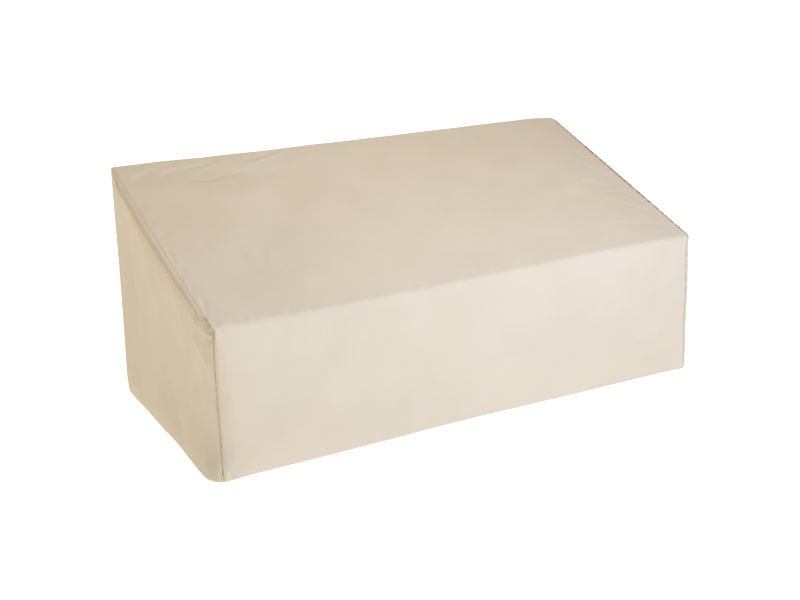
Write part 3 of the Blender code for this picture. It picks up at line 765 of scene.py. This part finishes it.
# %% The allowance and the hem of a gusset
def finished_gusset(gusset, net, borders, nearest, shade):
    """Adds the turned allowance round three sides and the turned hem, and makes the mesh."""
    lips = len(LIP_DEPTHS)
    front_normal, top_normal, back_normal = (border.normals for border in borders)
    turned_front = np.concatenate([net[:, :1] - depth * front_normal for depth in LIP_DEPTHS], 1)
    turned_back = np.concatenate([net[:, -1:] - depth * back_normal for depth in LIP_DEPTHS[::-1]], 1)
    wide = np.concatenate([turned_front, net, turned_back], 1)
    lip_normal = np.concatenate([np.repeat(front_normal[-1:], lips, 1), top_normal,
                                 np.repeat(back_normal[-1:], lips, 1)], 1)
    edge_row = carried_out(net[-1:], 0, 0, lips)
    turned_top = np.concatenate([edge_row - depth * lip_normal for depth in LIP_DEPTHS[::-1]])
    inward = np.broadcast_to(np.array([-gusset.side, 0.0, 0.0]), wide.shape)
    points = np.concatenate([turned_hem(wide, inward), wide, turned_top])
    nearest, shade = (carried_out(values, len(HEM_TURN), lips, lips) for values in (nearest, shade))
    return sheet_from_grid(gusset.name, points, points[..., 1:], gusset.side,
                           {"from_seam": nearest, "seam_shade": shade})


# %% Build the gussets
Gusset = namedtuple("Gusset", "name side seam bulge band squareness sewn creases seed")
LEFT_GUSSET = Gusset("left_gusset_cloth", -1, LEFT_SEAM, LEFT_BULGE, LEFT_BAND, LEFT_SQUARENESS,
                     LEFT_GROOVE, LEFT_GUSSET_CREASES, LEFT_GUSSET_SEED)
RIGHT_GUSSET = Gusset("right_gusset_cloth", 1, RIGHT_SEAM, RIGHT_BULGE, RIGHT_BAND, RIGHT_SQUARENESS,
                      RIGHT_GROOVE, (), RIGHT_GUSSET_SEED)
TIE = 1e-9


def gusset_cloth(gusset):
    """A net between the front, top and back seams and the hem, which billows outwards."""
    borders = gusset_borders(gusset.seam, gusset.side)
    seams = [border.points for border in borders]
    net, across, up = stretched_net(*seams)
    net[..., 0] += gusset.side * billow(gusset, net, across, up, *seams)
    distances = [np.linalg.norm(net - seam, axis=-1) for seam in seams]
    nearest = np.minimum.reduce(distances)
    creases = folds_height(net[..., 1], net[..., 2], gusset.creases)
    net[..., 0] += gusset.side * smooth_step(nearest / HELD_FLAT) * creases
    # Beside a seam the sheet dips and puckers along the seam's own normal
    shade = np.zeros(nearest.shape)
    for border, distance in zip(borders, distances):
        closest = np.where(distance <= nearest + TIE, 1.0, 0.0)
        shade += closest * groove(gusset.sewn, border.s, distance, "shade")
        lift = (roll(distance) - groove(gusset.sewn, border.s, distance, "depth")
                + puckers(border.s, distance, gusset.seed))
        net += (closest * lift)[..., None] * border.normals
    net[..., 0] += gusset.side * hem_pull(net[..., 2])
    return finished_gusset(gusset, net, borders, nearest, shade)


left, right = gusset_cloth(LEFT_GUSSET), gusset_cloth(RIGHT_GUSSET)
for piece in (left, right):
    give_thickness(piece)

# %% [markdown]
# ## The cloth
# The cover is woven polyester with a thin coat on the inside. From a metre away it looks matt and even, with
# a soft sheen at a glancing angle, and its colour drifts a little from place to place. A picture of cloth
# would repeat over two metres of plain panel, so colour, weave and crumple all come from nodes. The weave
# reads the cloth's own flat map and follows the folds. The slow drift reads the object's own coordinates.

# %% Colours and a node helper
def linear(hex_colour):
    """An sRGB hex value as linear RGBA."""
    channels = [int(hex_colour[i:i + 2], 16) / 255 for i in (1, 3, 5)]
    return tuple(c / 12.92 if c <= 0.04045 else ((c + 0.055) / 1.055) ** 2.4 for c in channels) + (1.0,)


def add_node(tree, kind, settings=None, links=None):
    """Adds a node, sets its properties or inputs by name or place, and links its inputs."""
    node = tree.nodes.new(kind)
    for key, value in (settings or {}).items():
        if isinstance(key, str) and hasattr(node, key):
            setattr(node, key, value)
        else:
            node.inputs[key].default_value = value
    for key, socket in (links or {}).items():
        tree.links.new(socket, node.inputs[key])
    return node


# %% The colour: a slow drift, and painted shade in the sewn grooves
# The third colour is painted shade, for the shadow in a seam's narrow gap
CLOTH_SHADED, CLOTH_LIGHT, SEAM_PAINTED_SHADE = "#d3c6b0", "#d6c9b4", "#6b5a40"
DRIFT_SIZE, SHADE_PATCH = 0.2, 0.016
DRIFT_LOW, DRIFT_HIGH = 0.35, 0.65
PATCH_LOW, PATCH_HIGH, PATCH_LEAST, PATCH_MOST = 0.38, 0.62, 0.45, 1.55
# In a Mix node that mixes colours, these are the places of its two colour inputs and of its result
COLOUR_A, COLOUR_B, COLOUR_OUT = 6, 7, 2


def cloth_colour(tree, place):
    """The colour of the thread, mixed towards painted shade in uneven patches where a seam is sewn."""
    drift = add_node(tree, "ShaderNodeTexNoise", {"Scale": 1 / DRIFT_SIZE, "Detail": 3.0}, {"Vector": place})
    ramp = add_node(tree, "ShaderNodeValToRGB", links={"Fac": drift.outputs["Fac"]})
    low, high = ramp.color_ramp.elements
    low.position, high.position = DRIFT_LOW, DRIFT_HIGH
    low.color, high.color = linear(CLOTH_SHADED), linear(CLOTH_LIGHT)
    patches = add_node(tree, "ShaderNodeTexNoise", {"Scale": 1 / SHADE_PATCH, "Detail": 2.0},
                       {"Vector": place})
    uneven = add_node(tree, "ShaderNodeMapRange",
                      {"From Min": PATCH_LOW, "From Max": PATCH_HIGH,
                       "To Min": PATCH_LEAST, "To Max": PATCH_MOST},
                      {"Value": patches.outputs["Fac"]})
    shade = add_node(tree, "ShaderNodeAttribute", {"attribute_name": "seam_shade"})
    broken = add_node(tree, "ShaderNodeMath", {"operation": "MULTIPLY"},
                      {0: shade.outputs["Fac"], 1: uneven.outputs["Result"]})
    mix = add_node(tree, "ShaderNodeMix", {"data_type": "RGBA", COLOUR_B: linear(SEAM_PAINTED_SHADE)},
                   {"Factor": broken.outputs["Value"], COLOUR_A: ramp.outputs["Color"]})
    return mix.outputs[COLOUR_OUT]


# %% The relief: a plain weave and a faint crumple
# At scale 1 a wave texture repeats every pi / 10 of a unit, so that length over the pitch gives one wave a
# thread. The real thread is finer, and is drawn at 1.1 mm so that it shows from close by.
THREAD_PITCH, THREAD_RELIEF, WAVE_REPEAT = 0.0011, 0.00004, math.pi / 10
CRUMPLE_SIZE, CRUMPLE_RELIEF, CRUMPLE_REACH, CALM_DIVISOR = 0.022, 0.0009, 0.15, 3


def cloth_relief(tree, place):
    """The bumped normal of the cloth: threads both ways, and a crumple that is strongest at the seams."""
    cloth_map = add_node(tree, "ShaderNodeUVMap", {"uv_map": "cloth"})
    threads = [add_node(tree, "ShaderNodeTexWave",
                        {"wave_type": "BANDS", "bands_direction": direction, "wave_profile": "SIN",
                         "Scale": WAVE_REPEAT / THREAD_PITCH, "Distortion": 0.0},
                        {"Vector": cloth_map.outputs["UV"]}).outputs["Fac"]
               for direction in ("X", "Y")]
    weave = add_node(tree, "ShaderNodeMath", {"operation": "MULTIPLY"}, dict(enumerate(threads)))
    crumple = add_node(tree, "ShaderNodeTexNoise",
                       {"Scale": 1 / CRUMPLE_SIZE, "Detail": 2.0, "Roughness": 0.55}, {"Vector": place})
    from_seam = add_node(tree, "ShaderNodeAttribute", {"attribute_name": "from_seam"})
    strength = add_node(tree, "ShaderNodeMapRange",
                        {"From Min": 0.0, "From Max": CRUMPLE_REACH,
                         "To Min": CRUMPLE_RELIEF, "To Max": CRUMPLE_RELIEF / CALM_DIVISOR},
                        {"Value": from_seam.outputs["Fac"]})
    relief = add_node(tree, "ShaderNodeMath", {"operation": "MULTIPLY"},
                      {0: crumple.outputs["Fac"], 1: strength.outputs["Result"]})
    height = add_node(tree, "ShaderNodeMath", {"operation": "MULTIPLY_ADD", 1: THREAD_RELIEF},
                      {0: weave.outputs["Value"], 2: relief.outputs["Value"]})
    bump = add_node(tree, "ShaderNodeBump", {"Strength": 1.0, "Distance": 1.0},
                    {"Height": height.outputs["Value"]})
    return bump.outputs["Normal"]


# %% Coated woven polyester
# A polymer's index of refraction is near 1.5. The woven face scatters the light, so it is rough and only a
# little glossy, and its loose fibre ends give a faint sheen.
CLOTH_FINISH = {"Roughness": 0.68, "IOR": 1.5, "Specular IOR Level": 0.35, "Sheen Weight": 0.12,
                "Sheen Roughness": 0.5}


def woven_polyester():
    """The cover's own material: warm beige thread, lightly mottled, with a plain weave."""
    material = bpy.data.materials.new("coated_woven_polyester")
    material.use_nodes = True
    tree = material.node_tree
    shader = tree.nodes["Principled BSDF"]
    for name, value in CLOTH_FINISH.items():
        shader.inputs[name].default_value = value
    place = add_node(tree, "ShaderNodeTexCoord").outputs["Object"]
    tree.links.new(cloth_colour(tree, place), shader.inputs["Base Color"])
    tree.links.new(cloth_relief(tree, place), shader.inputs["Normal"])
    print(f"{material.name}: {len(tree.nodes)} nodes, thread pitch {THREAD_PITCH * 1000} mm")
    return material


cloth = woven_polyester()

# %% Each sheet takes its material and its solid's place
for piece, node, slot in ((body, "body_panel", "body_cloth"), (left, "side_panel_left", "left_gusset_cloth"),
                          (right, "side_panel_right", "right_gusset_cloth")):
    piece.data.materials.append(cloth)
    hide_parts(node)
    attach(piece, "root")
    print(piece.name, "stands for", node)

# %% [markdown]
# ## The studio
# The cover stands on a pale floor whose edge is out of sight. The floor glows by itself, which keeps it
# evenly white. A single strong lamp would cut hard shadows, so large round lamps from the front, above and
# the right give the planes their soft difference, and a weak one warms the left gusset.

# %% The floor
FLOOR_RADIUS, FLOOR_LEVEL, FLOOR_GLOW = 60, -0.006, 1.0
FLOOR_PAINT, FLOOR_LIGHT = "#a0a0a0", "#ffffff"
bpy.ops.object.select_all(action="DESELECT")
bpy.ops.mesh.primitive_circle_add(vertices=96, radius=FLOOR_RADIUS, fill_type="NGON",
                                  location=(0, 0, FLOOR_LEVEL))
floor = bpy.context.active_object
floor.name = "studio_floor"
paper = bpy.data.materials.new("pale_studio_floor")
paper.use_nodes = True
paper_shader = paper.node_tree.nodes["Principled BSDF"]
for name, value in {"Base Color": linear(FLOOR_PAINT), "Roughness": 0.9, "Specular IOR Level": 0.1,
                    "Emission Color": linear(FLOOR_LIGHT), "Emission Strength": FLOOR_GLOW}.items():
    paper_shader.inputs[name].default_value = value
floor.data.materials.append(paper)
print("floor:", FLOOR_RADIUS, "m in radius, at", FLOOR_LEVEL, "m")


# %% The lights
def towards(azimuth, elevation):
    """The unit direction towards a place round the cover; azimuth 0 is in front and 90 on the right."""
    return Vector((math.sin(azimuth) * math.cos(elevation), -math.cos(azimuth) * math.cos(elevation),
                   math.sin(elevation)))


WORLD_LIGHT = (0.537, 0.479, 0.344)
AIM = Vector((0.0, 0.0, 0.35))
Lamp = namedtuple("Lamp", "name azimuth elevation distance size watts")
LAMPS = (
    Lamp("right_key", 20.0, 20.0, 3.0, 1.4, (11.4, 15.6, 27.5)),
    Lamp("front_overhead", 0.0, 50.0, 2.8, 1.4, (16.7, 21.2, 30.1)),
    Lamp("overhead", 10.0, 75.0, 2.4, 1.2, (9.0, 7.7, 6.6)),
    Lamp("left_fill", -110.0, 30.0, 3.0, 1.4, (1.8, 0.9, 0.1)),
)
scene = bpy.context.scene
world = bpy.data.worlds.new("studio")
world.use_nodes = True
world.node_tree.nodes["Background"].inputs["Color"].default_value = (*WORLD_LIGHT, 1.0)
scene.world = world
for lamp in LAMPS:
    away = towards(math.radians(lamp.azimuth), math.radians(lamp.elevation))
    data = bpy.data.lights.new(lamp.name, "AREA")
    data.shape, data.size = "DISK", lamp.size
    data.energy = max(lamp.watts)
    data.color = [watts / data.energy for watts in lamp.watts]
    light = bpy.data.objects.new(lamp.name, data)
    light.location = AIM + away * lamp.distance
    light.visible_camera = False
    light.rotation_mode = "QUATERNION"
    light.rotation_quaternion = away.to_track_quat("Z", "Y")
    scene.collection.objects.link(light)
    print(f"{lamp.name}: {max(lamp.watts)} W at {lamp.distance} m")
scene.view_settings.view_transform = "Standard"
scene.view_settings.look = "None"

# %% [markdown]
# ## The camera
# The camera stands above the left front corner, turned by about thirty degrees. Its angles, distance and lens
# were found together from the cover's straight edges in the photograph.

# %% The camera
AZIMUTH, ELEVATION, ROLL = math.radians(-29.7902), math.radians(19.0715), math.radians(-0.3886)
DISTANCE, SIDESTEP, LIFT, FOCAL_PIXELS = 5.28, -0.0381, -0.0690, 1370.25
TARGET_HEIGHT, IMAGE_WIDTH, SENSOR = 0.4, 800, 36.0
back_axis = towards(AZIMUTH, ELEVATION)
level = Vector((math.cos(AZIMUTH), math.sin(AZIMUTH), 0.0))
upright = back_axis.cross(level)
eye = back_axis * DISTANCE + level * SIDESTEP + upright * LIFT + Vector((0.0, 0.0, TARGET_HEIGHT))
across_axis = level * math.cos(ROLL) + upright * math.sin(ROLL)
up_axis = upright * math.cos(ROLL) - level * math.sin(ROLL)
camera_data = bpy.data.cameras.new("camera")
camera_data.lens, camera_data.sensor_width = FOCAL_PIXELS * SENSOR / IMAGE_WIDTH, SENSOR
camera = bpy.data.objects.new("camera", camera_data)
camera_rows = [[across_axis[i], up_axis[i], back_axis[i], eye[i]] for i in range(3)]
camera.matrix_world = Matrix(camera_rows + [[0, 0, 0, 1]])
scene.collection.objects.link(camera)
scene.camera = camera
print("lens:", round(camera_data.lens, 2), "mm, camera at", [round(c, 3) for c in eye])
